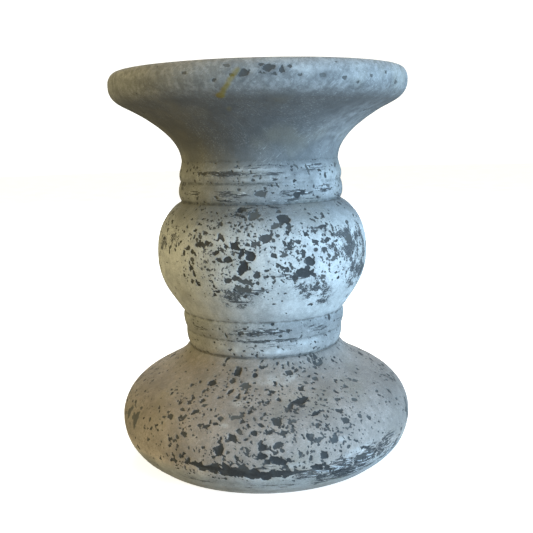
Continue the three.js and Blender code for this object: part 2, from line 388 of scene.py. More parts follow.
def displaced(skin, top_seam, bottom_seam):
    """The grid's points, roughened inwards along the outline's normals and drawn to the seams."""
    p = skin.points
    rough = sum(depth * (1 + gradient_noise(p, size, seed)) for depth, size, seed in ROUGHNESS)
    drawn_round = p * (0.12, 0.12, 1)
    rough += TOOL_MARKS * (1 + gradient_noise(drawn_round, 1.5, 13))
    on_seat = skin.rings[:, 1] >= skin.rings[0, 1] - 0.01
    if skin.rings[0, 0] == 0:
        seat_edge = skin.rings[on_seat & (skin.normal[:, 1] > 0.999), 0].max()
        calm = 1 - smoothstep(-1, SEAT_EDGE, skin.run - seat_edge)
        rough = rough * (1 - SEAT_CALM * calm[:, None])
    if bottom_seam is None:
        rough = rough * smoothstep(*FOOT_CALM, skin.rings[:, 1])[:, None]
    inwards = rough + skin.depth - WAX_HEIGHT * smoothstep(0.5, 1, skin.fields["wax"])
    normal = skin.normal.copy()
    shift = np.zeros_like(skin.rings)
    for seam, at_top in ((top_seam, True), (bottom_seam, False)):
        if seam:
            moved, hold = seam.draw(skin, at_top)
            shift += moved
            normal = normal * (1 - hold[:, None]) + np.outer(hold, (1, 0))
    out = p.copy()
    out[..., :2] += (shift[:, 0, None] - normal[:, 0, None] * inwards)[..., None] * skin.around
    out[..., 2] += shift[:, 1, None] - normal[:, 1, None] * inwards
    return out


def ring_mesh(name, rings, materials, material_of_row, closed):
    """A mesh from rings of points, in order round its outline from the top of the outside.

    A ring of one point is the end of an open outline, on the axis."""
    columns = max(len(ring) for ring in rings)
    counts = [len(ring) for ring in rings]
    starts = np.r_[0, np.cumsum(counts)]
    around = np.arange(columns)
    after = (around + 1) % columns
    faces, sides, rows = [], [], []
    for i in range(len(rings) if closed else len(rings) - 1):
        j = (i + 1) % len(rings)
        a, b = starts[i], starts[j]
        if counts[i] == 1:
            quad = np.column_stack([np.full(columns, a), b + around, b + after])
        elif counts[j] == 1:
            quad = np.column_stack([a + around, np.full(columns, b), a + after])
        else:
            quad = np.column_stack([a + around, b + around, b + after, a + after])
        faces.append(quad.ravel())
        sides.append(np.full(columns, quad.shape[1]))
        rows.append(np.full(columns, material_of_row[i]))
    corners = np.concatenate(faces).astype(np.int32)
    sizes = np.concatenate(sides).astype(np.int32)
    mesh = bpy.data.meshes.new(name)
    mesh.vertices.add(int(starts[-1]))
    mesh.vertices.foreach_set("co", (np.vstack(rings) * MM).astype(np.float32).ravel())
    mesh.loops.add(len(corners))
    mesh.loops.foreach_set("vertex_index", corners)
    mesh.polygons.add(len(sizes))
    mesh.polygons.foreach_set("loop_start", np.r_[0, np.cumsum(sizes)[:-1]].astype(np.int32))
    mesh.polygons.foreach_set("loop_total", sizes)
    for material in materials:
        mesh.materials.append(material)
    mesh.polygons.foreach_set("material_index", np.concatenate(rows).astype(np.int32))
    mesh.update(calc_edges=True)
    mesh.validate()
    mesh.shade_smooth()
    mesh.set_sharp_from_angle(angle=SHARP_TURN)
    piece = bpy.data.objects.new(name, mesh)
    bpy.context.scene.collection.objects.link(piece)
    return piece


def circle_ring(r, z, columns=COLUMNS):
    if r == 0:
        return np.array([[0.0, 0.0, z]])
    azimuth = np.arange(columns) * TURN / columns
    return np.column_stack([r * np.sin(azimuth), -r * np.cos(azimuth), np.full(columns, z)])


def add_section(skin, crest, top_seam, bottom_seam, coat, timber):
    """Makes a section's mesh with its fields as attributes, in place of its CAD node."""
    rings = list(displaced(skin, top_seam, bottom_seam))
    if skin.rings[0, 0] == 0:
        rings[0] = rings[0][:1]
    outer_count = len(rings)
    rings += [circle_ring(r, z) for r, z in skin.inside]
    rows = np.ones(len(rings), int)
    rows[:outer_count] = 0
    if not skin.closed:
        rows = rows[:-1]
    piece = ring_mesh(skin.node + "_coated", rings, [coat, timber], rows, skin.closed)
    fields = dict(skin.fields)
    fields["chip"] = np.clip(0.5 + skin.edge / CHIP_REACH / 2, 0, 1)
    fields["chip_dark"] = skin.dark
    fields["crest"] = 0.5 + np.repeat(crest[:, None], COLUMNS, axis=1)
    inner_size = sum(len(ring) for ring in rings[outer_count:])
    for name, grid in fields.items():
        values = np.concatenate([row[:len(ring)] for row, ring in zip(grid, rings)])
        values = np.concatenate([values, np.full(inner_size, 0.5 if name == "tone" else 0.0)])
        attribute = piece.data.attributes.new(name, "FLOAT", "POINT")
        attribute.data.foreach_set("value", values.astype(np.float32))
    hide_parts(skin.node)
    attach(piece, "root")
    return piece


# ------------------------ materials

def srgb(red, green, blue):
    """A colour picked as 0-255 screen values, as the linear RGBA that shaders take."""
    linear = [((c / 255 + 0.055) / 1.055) ** 2.4 for c in (red, green, blue)]
    return (*linear, 1.0)


class Graph:
    """Builds a node material in few lines. Sizes are millimetres."""

    def __init__(self, name):
        self.material = bpy.data.materials.new(name)
        self.material.use_nodes = True
        self.tree = self.material.node_tree
        self.tree.nodes.clear()
        self.shader = self.tree.nodes.new("ShaderNodeBsdfPrincipled")
        output = self.tree.nodes.new("ShaderNodeOutputMaterial")
        self.tree.links.new(self.shader.outputs[0], output.inputs["Surface"])
        self.place = self.tree.nodes.new("ShaderNodeTexCoord").outputs["Object"]

    def put(self, socket, value):
        """Links a socket to another one, or sets its value."""
        if isinstance(value, bpy.types.NodeSocket):
            self.tree.links.new(value, socket)
        else:
            socket.default_value = value

    def field(self, name):
        node = self.tree.nodes.new("ShaderNodeAttribute")
        node.attribute_name = name
        return node.outputs["Fac"]

    def drawn_out(self, times, turn=(0, 0, 0)):
        """Coordinates that stretch a texture by times along each axis, then turn it."""
        node = self.tree.nodes.new("ShaderNodeMapping")
        node.vector_type = "TEXTURE"
        node.inputs["Scale"].default_value = times
        node.inputs["Rotation"].default_value = turn
        self.put(node.inputs["Vector"], self.place)
        return node.outputs[0]

    def wobbled(self, amount, size, vector=None):
        """Coordinates shaken by amount, so that what is drawn with them gets a ragged edge."""
        noise = self.tree.nodes.new("ShaderNodeTexNoise")
        self.put(noise.inputs["Vector"], self.place)
        noise.inputs["Scale"].default_value = 1 / (size * MM)
        node = self.tree.nodes.new("ShaderNodeVectorMath")
        node.operation = "MULTIPLY_ADD"
        self.put(node.inputs[0], noise.outputs["Color"])
        node.inputs[1].default_value = (amount * MM,) * 3
        self.put(node.inputs[2], vector or self.place)
        return node.outputs[0]

    def noise(self, size, detail=3.0, roughness=0.55, vector=None, distortion=0.0):
        node = self.tree.nodes.new("ShaderNodeTexNoise")
        self.put(node.inputs["Vector"], vector or self.place)
        node.inputs["Scale"].default_value = 1 / (size * MM)
        node.inputs["Detail"].default_value = detail
        node.inputs["Roughness"].default_value = roughness
        node.inputs["Distortion"].default_value = distortion
        return node.outputs["Fac"]

    def specks(self, size, share, vector):
        """Specks in random cells of a size. Share, from 0 to 1, says how many cells hold one."""
        node = self.tree.nodes.new("ShaderNodeTexVoronoi")
        self.put(node.inputs["Vector"], vector)
        node.inputs["Scale"].default_value = 1 / (size * MM)
        split = self.tree.nodes.new("ShaderNodeSeparateColor")
        self.put(split.inputs[0], node.outputs["Color"])
        lucky = self.math("SUBTRACT", self.math("ADD", split.outputs[0], share), 1.0)
        radius = self.step(lucky, 0.0, 0.45, 0.0, 0.5)
        return self.step(self.math("SUBTRACT", radius, node.outputs["Distance"]), 0.0, 0.07)

    def math(self, operation, a, b=0.0, clamp=False):
        node = self.tree.nodes.new("ShaderNodeMath")
        node.operation = operation
        node.use_clamp = clamp
        self.put(node.inputs[0], a)
        self.put(node.inputs[1], b)
        return node.outputs[0]

    def times(self, *values):
        total = values[0]
        for value in values[1:]:
            total = self.math("MULTIPLY", total, value)
        return total

    def step(self, value, low, high, to_low=0.0, to_high=1.0):
        """Runs smoothly from to_low to to_high as value goes from low to high."""
        node = self.tree.nodes.new("ShaderNodeMapRange")
        node.interpolation_type = "SMOOTHSTEP"
        self.put(node.inputs["Value"], value)
        self.put(node.inputs["From Min"], low)
        self.put(node.inputs["From Max"], high)
        node.inputs["To Min"].default_value = to_low
        node.inputs["To Max"].default_value = to_high
        return node.outputs["Result"]

    def worn_by(self, pattern, field, rare, common):
        """Where a pattern passes a limit that falls from rare to common as a field rises to 1."""
        limit = self.math("SUBTRACT", rare, self.math("MULTIPLY", field, rare - common))
        shown = self.step(pattern, limit, self.math("ADD", limit, 0.035))
        return self.math("MULTIPLY", shown, self.step(field, 0.01, 0.12))

    def mix(self, factor, a, b):
        node = self.tree.nodes.new("ShaderNodeMix")
        node.data_type = "RGBA"
        self.put(node.inputs["Factor"], factor)
        self.put(node.inputs[6], a)  # sockets 6, 7 and 2 are the colour A, B and Result
        self.put(node.inputs[7], b)
        return node.outputs[2]

    def bump(self, height, distance, strength=1.0, under=None):
        node = self.tree.nodes.new("ShaderNodeBump")
        node.inputs["Strength"].default_value = strength
        node.inputs["Distance"].default_value = distance * MM
        self.put(node.inputs["Height"], height)
        if under:
            self.put(node.inputs["Normal"], under)
        return node.outputs[0]


COAT_DEEP = srgb(72, 73, 75)
COAT_LIGHT = srgb(204, 205, 203)
WARM_DEEP = srgb(75, 73, 70)
WARM_LIGHT = srgb(216, 202, 191)
# Chalk white of the coat's strokes and streaks, also used for painted highlights on crests and painted
# light in some pale patches
CHALK_AND_HIGHLIGHT = srgb(226, 228, 228)
DUST = srgb(150, 143, 124)
# Dark of the coat's fine grain, and painted shade in the grooves
GRIME_AND_SHADE = srgb(72, 75, 73)
SLATE = srgb(34, 36, 38)
WORN_SLATE = srgb(62, 63, 66)
PALE_SLATE = srgb(92, 92, 90)
WAX = srgb(128, 111, 20)


def coat_material(name):
    """Chalky stone-effect coat over a dark slate undercoat, chipped, scuffed and dry-brushed, with
    painted shade and painted light in its tone, warmth, pale patches, grooves and crests.
    """
    g = Graph(name)
    cloud = g.noise(15, 4, 0.6)
    mottle = g.noise(3.4, 5, 0.7)
    tone = g.times(g.field("tone"), g.step(cloud, 0.3, 0.7, 0.82, 1.18))
    tone = g.math("MULTIPLY", tone, g.step(mottle, 0.3, 0.7, 1.2, 0.82), clamp=True)
    # Warmth: a warm tint painted on the base's upper side for the light that falls there
    warmth = g.field("warmth")
    colour = g.mix(tone, g.mix(warmth, COAT_DEEP, WARM_DEEP), g.mix(warmth, COAT_LIGHT, WARM_LIGHT))
    colour = g.mix(g.step(g.noise(24, 2), 0.5, 0.75, 0, 0.3), colour, DUST)
    grain = g.step(g.noise(0.6, 3, 0.7), 0.3, 0.72)
    colour = g.mix(g.math("MULTIPLY", grain, 0.32), colour, GRIME_AND_SHADE)

    # Strokes of the brush that laid the coat on, slanting either way
    one = g.noise(0.5, 3, 0.6, g.drawn_out((1, 1, 14), (0, 0.85, 0)))
    two = g.noise(0.5, 3, 0.6, g.drawn_out((1, 1, 14), (0.3, -0.95, 0.4)))
    strokes = g.math("MAXIMUM", g.step(one, 0.56, 0.7), g.step(two, 0.58, 0.72))
    colour = g.mix(g.times(strokes, g.step(cloud, 0.35, 0.6), 0.2), colour, CHALK_AND_HIGHLIGHT)

    # Grooves darkened with grime and painted shade, and crests lightened by rubbed paint and a painted
    # highlight
    crest = g.field("crest")
    groove = g.times(g.step(crest, 0.44, 0.2), g.step(g.noise(3, 4, 0.65), 0.35, 0.6, 0.15, 1.0))
    colour = g.mix(g.times(groove, 0.7), colour, GRIME_AND_SHADE)
    rub_and_highlight = g.times(g.step(crest, 0.54, 0.68), g.step(g.noise(2.5, 4, 0.65), 0.42, 0.62))
    colour = g.mix(g.times(rub_and_highlight, 0.14), colour, CHALK_AND_HIGHLIGHT)
    # Pale patches: mostly chalky coat, with painted light in some of them
    pale = g.times(g.field("pale"), g.step(g.noise(4, 3, 0.6), 0.2, 0.8), 0.8)
    colour = g.mix(pale, colour, CHALK_AND_HIGHLIGHT)

    # Scuffs: a smudge of undercoat with fine crossing scratches in it
    scuff = g.times(g.field("scuff"), g.step(g.noise(5, 5, 0.7), 0.36, 0.6, 0.25, 1.2))
    smudge = g.times(scuff, g.step(g.noise(2.4, 5, 0.75), 0.42, 0.62), 0.4)
    colour = g.mix(smudge, colour, WORN_SLATE)
    one = g.noise(0.55, 4, 0.7, g.wobbled(0.5, 2, g.drawn_out((1, 1, 7), (0, 1.15, 0))))
    two = g.noise(0.55, 4, 0.7, g.wobbled(0.5, 2, g.drawn_out((1, 1, 7), (0.2, -1.1, 0.3))))
    scratches = g.worn_by(g.math("MAXIMUM", one, two), scuff, 0.74, 0.5)
    colour = g.mix(g.times(scratches, 0.85), colour, g.mix(mottle, SLATE, WORN_SLATE))

    # Rubbed streaks that run round the axis
    streak = g.field("streak")
    ring_noise = g.noise(0.8, 4, 0.72, g.drawn_out((8, 8, 1)))
    streaks = g.worn_by(ring_noise, streak, 0.7, 0.43)
    colour = g.mix(g.times(streaks, 0.8), colour, g.mix(mottle, SLATE, WORN_SLATE))
    bright_noise = g.noise(0.9, 4, 0.7, g.drawn_out((6, 6, 1), (0.05, 0.12, 0)))
    bright = g.worn_by(bright_noise, streak, 0.74, 0.56)
    colour = g.mix(g.times(bright, 0.5), colour, CHALK_AND_HIGHLIGHT)

    # Specks smaller than the mesh's own chips
    speck = g.field("speck")
    patchy = g.times(speck, g.step(g.noise(9, 3, 0.6), 0.38, 0.62))
    ragged_place = g.wobbled(1.3, 0.9)
    big_specks = g.specks(1.7, g.times(patchy, 0.6), ragged_place)
    small_specks = g.specks(0.95, g.times(patchy, 0.5), ragged_place)
    specks = g.math("MAXIMUM", big_specks, small_specks)
    colour = g.mix(g.times(specks, 0.85), colour, g.mix(cloud, SLATE, WORN_SLATE))

    # Chips, ragged at the edge
    ragged = g.math("MULTIPLY", g.math("SUBTRACT", g.noise(0.8, 4, 0.75), 0.5), 0.34)
    chip_edge = g.math("ADD", g.field("chip"), ragged)
    chips = g.step(chip_edge, 0.475, 0.52)
    residue = g.step(g.noise(1.2, 5, 0.78), 0.42, 0.72)
    chip_colour = g.mix(g.times(residue, 0.55), SLATE, WORN_SLATE)
    faded = g.math("SUBTRACT", 1.12, g.field("chip_dark"), clamp=True)
    chip_colour = g.mix(g.times(faded, 1.5), chip_colour, PALE_SLATE)
    colour = g.mix(chips, colour, chip_colour)

    # Old wax: an amber film
    wax = g.step(g.math("ADD", g.field("wax"), ragged), 0.1, 1.0)
    colour = g.mix(g.times(wax, 0.75), colour, WAX)

    g.put(g.shader.inputs["Base Color"], colour)
    rough = g.step(mottle, 0.3, 0.7, 0.95, 0.85)
    rough = g.math("SUBTRACT", rough, g.times(chips, 0.22))
    rough = g.math("SUBTRACT", rough, g.times(wax, 0.4))
    g.put(g.shader.inputs["Roughness"], rough)
    g.shader.inputs["Specular IOR Level"].default_value = 0.3
    normal = g.bump(g.math("ADD", g.times(grain, 0.6), g.times(strokes, 0.4)), 0.07, 0.55)
    normal = g.bump(g.noise(2.4, 4, 0.6), 0.25, 0.35, normal)
    normal = g.bump(g.math("SUBTRACT", 1.0, chips), 0.16, 0.8, normal)
    broken = g.math("MAXIMUM", g.math("MAXIMUM", scratches, streaks), specks)
    normal = g.bump(g.math("SUBTRACT", 1.0, broken), 0.09, 0.6, normal)
    g.put(g.shader.inputs["Normal"], normal)
    return g.material


def timber_material():
    """Bare turned timber, seen only where the sections come apart."""
    g = Graph("bare_timber")
    rings = g.noise(1.1, 3, 0.6, g.drawn_out((1, 1, 14)))
    colour = g.mix(g.step(rings, 0.35, 0.65), srgb(150, 112, 74), srgb(196, 158, 112))
    pores = g.step(g.noise(0.35, 2, 0.6, g.drawn_out((1, 1, 20))), 0.6, 0.7)
    colour = g.mix(g.times(pores, 0.5), colour, srgb(96, 66, 42))
    g.put(g.shader.inputs["Base Color"], colour)
    g.put(g.shader.inputs["Roughness"], g.step(rings, 0.3, 0.7, 0.62, 0.78))
    g.put(g.shader.inputs["Normal"], g.bump(rings, 0.12, 0.5))
    return g.material


def metal_material(name, dull, bright, rough):
    """Plated or turned metal with fine marks round the axis and dull spots."""
    g = Graph(name)
    spots = g.step(g.noise(2.5, 4, 0.7), 0.35, 0.7)
    marks = g.noise(0.18, 2, 0.6, g.drawn_out((5, 5, 1)))
    g.put(g.shader.inputs["Base Color"], g.mix(spots, dull, bright))
    g.shader.inputs["Metallic"].default_value = 1.0
    g.put(g.shader.inputs["Roughness"], g.step(marks, 0.3, 0.7, rough, rough + 0.16))
    g.put(g.shader.inputs["Normal"], g.bump(marks, 0.03, 0.4))
    return g.material


def felt_material():
    """Pressed wool felt: short fibres lying every way."""
    g = Graph("charcoal_felt")
    one = g.noise(0.5, 4, 0.75, g.drawn_out((1, 5, 1), (0, 0, 0.5)), 1.5)
    two = g.noise(0.5, 4, 0.75, g.drawn_out((5, 1, 1), (0, 0, 0.3)), 1.5)
    fibres = g.math("MAXIMUM", one, two)
    colour = g.mix(g.step(fibres, 0.4, 0.75), srgb(40, 42, 42), srgb(92, 94, 92))
    colour = g.mix(g.step(g.noise(9, 3), 0.4, 0.7, 0, 0.3), colour, srgb(60, 58, 54))
    g.put(g.shader.inputs["Base Color"], colour)
    g.shader.inputs["Roughness"].default_value = 1.0
    g.shader.inputs["Sheen Weight"].default_value = 0.4
    g.put(g.shader.inputs["Normal"], g.bump(fibres, 0.35, 0.7))
    return g.material


# ------------------------ marks on the coat
# Chips are (azimuth, height, length, width, tilt, darkness). Only the ones large enough to be
# told apart are placed one by one, and the small ones are random.

BULB_CHIPS = (
    (12, 125, 7.2, 4.6, -22, 0.9), (-4, 126.6, 6, 4, 0, 0.55), (-12, 129.3, 3, 2.4, 0, 1),
    (7.5, 122, 4.4, 3, 40, 0.6), (2.5, 117, 5.8, 3.6, 8, 0.75), (-3, 114.6, 5, 2, 25, 0.7),
    (-13, 113, 4.8, 2.8, -15, 1), (-17.5, 113.2, 2.6, 1.6, -5, 0.9), (-10, 110, 4.6, 2.4, 66, 1),
    (-5.6, 109.3, 5, 4.4, -20, 1), (-9.3, 103.8, 6.6, 3.8, 64, 1), (-23, 110.5, 3.4, 2.6, 30, 0.95),
    (-16.6, 107.2, 4.2, 2.8, 10, 0.95), (-21.5, 107.5, 2.8, 2, -20, 0.9),
    (-20, 117, 4.2, 1.9, -35, 0.8), (-30.5, 119, 3, 2.2, 30, 0.8), (-33.5, 114, 4.6, 2.4, 30, 1),
    (-28.3, 114.6, 3, 2.4, 0, 0.9), (-40, 112.3, 3.6, 2, 65, 0.9), (-37, 110, 2.5, 2, 50, 0.95),
    (-43, 109, 2.8, 2, 80, 0.9), (-38, 103, 3.2, 2, -40, 0.95), (-36.5, 99.6, 2.2, 1.9, 0, 0.9),
    (-17.6, 97.6, 3.6, 2.6, 5, 0.75), (-13.5, 99, 3, 2.6, 0, 0.75), (-8.5, 97.2, 6.4, 3.2, -8, 0.62),
    (-9, 92.8, 7, 2.2, -3, 0.58), (-2.8, 100, 3.4, 3, -30, 0.8), (2.2, 102.4, 2.6, 2, 0, 0.8),
    (5, 98.6, 3, 1.8, -35, 0.75), (12.3, 102.3, 2.5, 2, 60, 0.9), (20.5, 100, 8, 4.6, -10, 1),
    (24.3, 105.6, 6, 4.2, -48, 1), (21, 109, 2.4, 1.8, 60, 0.9), (5.8, 109.3, 2.5, 2.1, 0, 0.85),
    (11, 109, 4, 1.9, 5, 0.6), (14, 112, 4.2, 1.8, 12, 0.85), (18.5, 114.4, 2.9, 2, -10, 0.8),
    (23.3, 118, 2.6, 2, 60, 0.95), (14.5, 121.3, 3.2, 1.5, 18, 0.8), (32.5, 120, 2.8, 2, 0, 0.85),
    (35, 114.4, 4, 2.6, 20, 0.9), (28, 113.9, 3.8, 1.8, -32, 0.9), (32.5, 110.5, 2.6, 2.2, 0, 0.9),
    (38.5, 105.4, 3.8, 2.2, 25, 0.6), (55, 120.5, 4, 2.6, 40, 0.6), (32, 97, 3.6, 1.8, 10, 0.6),
    (27.5, 83.4, 2.6, 1.3, 22, 0.75), (6, 85.4, 2.2, 1.1, 12, 0.8), (52, 113, 5, 3.4, 30, 0.65),
)
BASE_CHIPS = (
    (-17, 52.4, 5.2, 3.8, 62, 1), (-2, 54.5, 4, 1.5, 5, 0.9), (-29.5, 48.2, 4.6, 3.6, 0, 0.95),
    (-19, 49.3, 3, 2, 0, 0.8), (-11, 48, 5, 3.4, 0, 0.6), (15, 51.8, 4.2, 3.2, 0, 0.8),
    (29, 48.5, 3.5, 2.6, 0, 0.65), (38, 53, 4.5, 2.2, 15, 0.65), (-17.6, 46, 4.4, 2.8, 70, 0.9),
    (-13, 44.7, 3, 2, 0, 0.9), (3, 46.5, 3, 2.4, 0, 0.9), (15.3, 43.1, 6.8, 4.4, 18, 1),
    (10.3, 41.6, 5, 2.2, 50, 0.9), (18, 46.3, 4.2, 2.4, 35, 0.85), (-6.5, 40.5, 2.7, 2, 70, 1),
    (-29.5, 38.8, 4.4, 1.8, 45, 0.9), (-40, 35.5, 4.2, 2.6, 10, 0.8), (-12, 38.3, 5, 1.8, 0, 0.6),
    (4, 36.8, 5.4, 3.6, -42, 0.9), (20, 38.3, 5, 1.8, 15, 1), (30, 37.6, 5, 1.8, -22, 0.85),
    (31, 33.8, 4.2, 2.8, -10, 0.85), (-22.5, 34.4, 4.2, 2.2, 30, 0.9), (-31, 30.5, 3, 1.6, 10, 0.9),
    (-4.4, 33.2, 3.2, 2.4, 0, 1), (-2, 35.8, 2.6, 1.7, 0, 0.95), (1, 33.6, 3.2, 2.2, 40, 0.95),
    (-12, 30.9, 5.2, 3.4, -32, 0.95), (-16.3, 25.4, 7, 3.8, 68, 1), (-22.5, 25.7, 2.4, 1.8, 20, 0.9),
    (-1.5, 27.6, 5, 3.2, -10, 1), (4, 28.2, 5.4, 3, 12, 0.85), (3.6, 21, 8.4, 3.8, -15, 1),
    (-1.6, 23.4, 4.6, 2.6, 0, 1), (-8.5, 18.3, 3.8, 3.4, 0, 0.75), (20, 21.4, 4.6, 4, 0, 0.95),
    (17.4, 16.6, 5, 3.2, 0, 1), (15, 21, 3, 2.2, 70, 0.85), (21.2, 14.5, 3, 2.4, 0, 0.9),
    (35, 15.6, 6, 3, 12, 0.75), (19, 29, 4.2, 1.8, 8, 0.7), (11.5, 24, 3.2, 1.6, -8, 0.8),
    (29.5, 22.8, 2.6, 2, 0, 0.8), (-28.5, 19, 3.4, 2.2, 80, 0.9), (50, 45, 3.2, 2.4, 0, 0.6),
    (41, 44.4, 2.8, 2.2, 0, 0.6), (40, 40, 3.2, 2, 0, 0.6), (-60, 29, 8, 4, 75, 0.6),
    (6, 14.5, 3.6, 2.2, -20, 0.85),
)
BASE_SCRAPES = (  # flakes scraped off in a line, a little above the foot's smooth pale rim
    (-26, 17.8, 7, 1.6, 10, 0.95), (-19, 16.2, 12, 2.6, -4, 1), (-11, 15.3, 14, 3, -3, 1),
    (-3, 14.7, 13, 2.7, 0, 1), (4, 14.9, 10, 2.6, 8, 0.95), (11, 14.6, 8, 1.5, 4, 0.85),
)
UPPER_COLLAR_CHIPS = (
    (24.5, 135.4, 4, 2.8, 15, 1), (28, 135.8, 3, 2.4, 0, 1), (0.5, 135.6, 5.4, 3.2, 0, 0.6),
    (33, 147, 3.4, 1.8, -60, 0.6), (25, 147.8, 3.6, 1.2, -50, 0.6), (43, 146, 3, 1.3, -10, 0.85),
    (65, 147.5, 3, 2.2, 40, 0.6), (10.5, 142.4, 2.6, 1, 18, 0.8), (-4, 144.3, 2.6, 0.9, 0, 0.75),
    (-29.5, 134.6, 2.6, 1.4, -30, 0.7), (-40, 145.3, 4, 1.6, 0, 0.75), (48, 136.6, 2.6, 1, 25, 0.9),
)
LOWER_COLLAR_CHIPS = (
    (5.5, 74.2, 2.4, 1.5, 10, 1), (-12.5, 72.7, 2, 1.2, 15, 0.85), (-15, 70, 3.2, 1.2, -8, 0.7),
    (-4.5, 70.4, 3, 1.1, 10, 0.75), (12, 71, 2.8, 1.2, 0, 0.7), (16, 70.6, 2.2, 1.6, 30, 0.8),
    (2, 66, 3, 0.8, 0, 0.75), (51, 73.5, 3, 2, 60, 0.9), (18, 65.4, 2, 0.9, -30, 0.7),
)
PLATE_CHIPS = (
    (-4, 187, 4.2, 3.4, 0, 0.75), (3.6, 188.8, 4.8, 3, 20, 0.8), (8, 188.4, 3.4, 2, 70, 0.8),
    (1.5, 190.6, 2.6, 1.6, 0, 0.75), (10.5, 189.6, 2.2, 1.4, 0, 0.75), (5.5, 186.6, 2, 1.4, 0, 0.7),
    (21.5, 185.6, 3, 2.2, 0, 0.5), (58, 184, 3.6, 2.4, 0, 0.5), (-14, 184.6, 2, 1.8, 0, 0.6),
    (-9.5, 190.5, 3.2, 1.8, -20, 0.45), (-24, 188, 2.2, 1.8, 0, 0.45), (-62, 174, 2.4, 1.4, 30, 0.7),
    (30, 184.5, 2.6, 2, 0, 0.6), (36, 183, 2, 1.6, 0, 0.6), (50, 188, 2.2, 1.6, 0, 0.6),
    (-8, 186.5, 2, 1.4, 0, 0.6), (14, 186, 1.8, 1.4, 0, 0.55), (42, 186, 1.8, 1.4, 0, 0.55),
)
PLATE_SHADES = (  # soft marks on the rim: azimuth, height, length, width, change of tone
    (-4, 186, 11, 7, -0.12), (4, 187.5, 15, 7, -0.16), (11, 186, 9, 6, -0.1), (-19, 186, 9, 6, -0.1),
    (24, 185, 12, 6, -0.1), (37, 182, 14, 5, -0.12), (56, 184, 12, 8, -0.12), (-42, 185, 16, 8, -0.08),
    # The lightening at 62 degrees, 164 mm is painted light on the flare's right side
    (17, 188, 12, 6, 0.08), (62, 164, 44, 26, 0.06), (47, 187, 14, 5, 0.1), (-30, 186, 9, 5, 0.06),
)
WAX_RUN = ((-6.2, 188), (-12.4, 178.4))  # azimuth and height where it starts and where it ends
WAX_STEPS = 9
SEAT_WAX = ((-20, 41, 7), (-35, 36, 4), (130, 40, 6), (75, 22, 5))  # azimuth, distance, size
SEAT_CHIPS = 110
SEAT_WEAR = (("tone", 0.05), ("scuff", 0.62), ("speck", 0.45))  # added all over the seat
CANDLE_RADIUS = 38.0  # of the ring on the seat
CANDLE_RING = (1.1, 0.6)  # the ring's width and strength
# How light the coat is at each of these heights, from 0 (deep) to 1 (light). The low values from the
# bulb's top up to the rim are painted shade under the plate, as well as the coat's own tone
TONE_HEIGHTS = (
    0, 4, 9, 14, 20, 50, 57, 59, 74, 76, 82,
    95, 116, 127, 131, 134, 147, 152, 160, 178, 184, 194,
)
TONES_WITH_SHADE = (
    0.7, 0.56, 0.54, 0.76, 0.47, 0.33, 0.35, 0.52, 0.48, 0.75, 0.88,
    0.9, 0.86, 0.33, 0.27, 0.36, 0.34, 0.18, 0.09, 0.14, 0.27, 0.31,
)
# How warm its colours are: the base's upper side is painted warm, standing in for the cool light that
# reaches it less than the top, and the rest is cool
WARM_HEIGHTS = (0, 10, 16, 54, 60, 76)
WARMTHS = (0, 0, 1, 1, 0.3, 0)


def facing(azimuth, wide, out):
    """1 across the front and falling to 0 at its sides, and the same in three directions round."""
    return 1 - smoothstep(wide, out, abs((azimuth + 60) % 120 - 60))


def base_density(azimuth, height):
    """The base is chipped most across its front and hardly at all at its sides."""
    front = facing(azimuth, 30, 58)
    foot, shoulder = smoothstep(8, 15, height), smoothstep(36, 52, height)
    return float((0.25 + 0.75 * front) * foot * (1 - 0.4 * shoulder))


def bulb_density(azimuth, height):
    """The upper two thirds are chipped most, and the lower third is nearly whole."""
    low, top = smoothstep(84, 99, height), smoothstep(120, 129, height)
    return float((0.04 + 0.96 * low) * (1 - 0.5 * top) * (0.3 + 0.7 * facing(azimuth, 40, 58)))


def collar_density(azimuth, height):
    """The collars are chipped alike all over."""
    return 0.75


def plate_density(azimuth, height):
    """Few chips, nearly all on the rim."""
    return float(0.03 + 0.25 * smoothstep(178, 184, height))


def mark(skin, seed, chips, count, density, size, largest, dark=(0.6, 1)):
    """Gives a skin its tone, warmth, specks and chips."""
    rng = np.random.default_rng(seed)
    # Tone by height carries painted shade under the plate, and warmth by height is a painted tint for
    # the light on the base
    skin.fields["tone"] += np.interp(skin.rings[:, 1], TONE_HEIGHTS, TONES_WITH_SHADE)[:, None]
    skin.fields["warmth"] += np.interp(skin.rings[:, 1], WARM_HEIGHTS, WARMTHS)[:, None]
    columns = np.arange(COLUMNS) / COLUMNS * 360
    stops = columns[::SPECK_STRIDE]
    known = np.array([[density(a, z) for a in stops] for z in skin.rings[:, 1]])
    known = np.column_stack([known, known[:, :1]])
    stops = np.r_[stops, 360]
    skin.fields["speck"] += np.array([np.interp(columns, stops, row) for row in known])
    for chip in all_round(chips, rng):
        skin.chip(*chip, rng)
    skin.scatter(count, size, largest, dark, density, rng)
    return rng


def patches(skin, name, marks, rng):
    """Soft patches in a field: (azimuth, height, length, width, strength), and a tilt if any."""
    for patch in all_round(marks, rng):
        skin.patch(name, *patch)


def wear_seat(skin, rng):
    """The seat's small chips and scratches, drops of wax, and the ring that a wide candle left."""
    flat = int(np.argmax(np.abs(skin.rings[:, 1] - skin.rings[0, 1]) > 0.05))
    edge = skin.run[flat - 1]
    for _ in range(SEAT_CHIPS):
        size = rng.uniform(1.3, 3.4)
        place = rng.uniform(0, TURN), edge * math.sqrt(rng.uniform(0.03, 1))
        skin.flake(*place, size, size * rng.uniform(0.5, 1), rng.uniform(-60, 60),
                   rng.uniform(0.45, 1), rng)
    for name, amount in SEAT_WEAR:
        skin.fields[name][:flat] += amount
    width, strength = CANDLE_RING
    ring = np.exp(-((skin.run - CANDLE_RADIUS) / width) ** 2)
    broken = 0.5 + 0.5 * gradient_noise(skin.points, 12, 43)
    skin.fields["pale"] += strength * ring[:, None] * smoothstep(0.3, 0.8, broken)
    for azimuth, away, size in SEAT_WAX:
        skin.blot("wax", math.radians(azimuth), away, size, size * 0.8, 0.85)


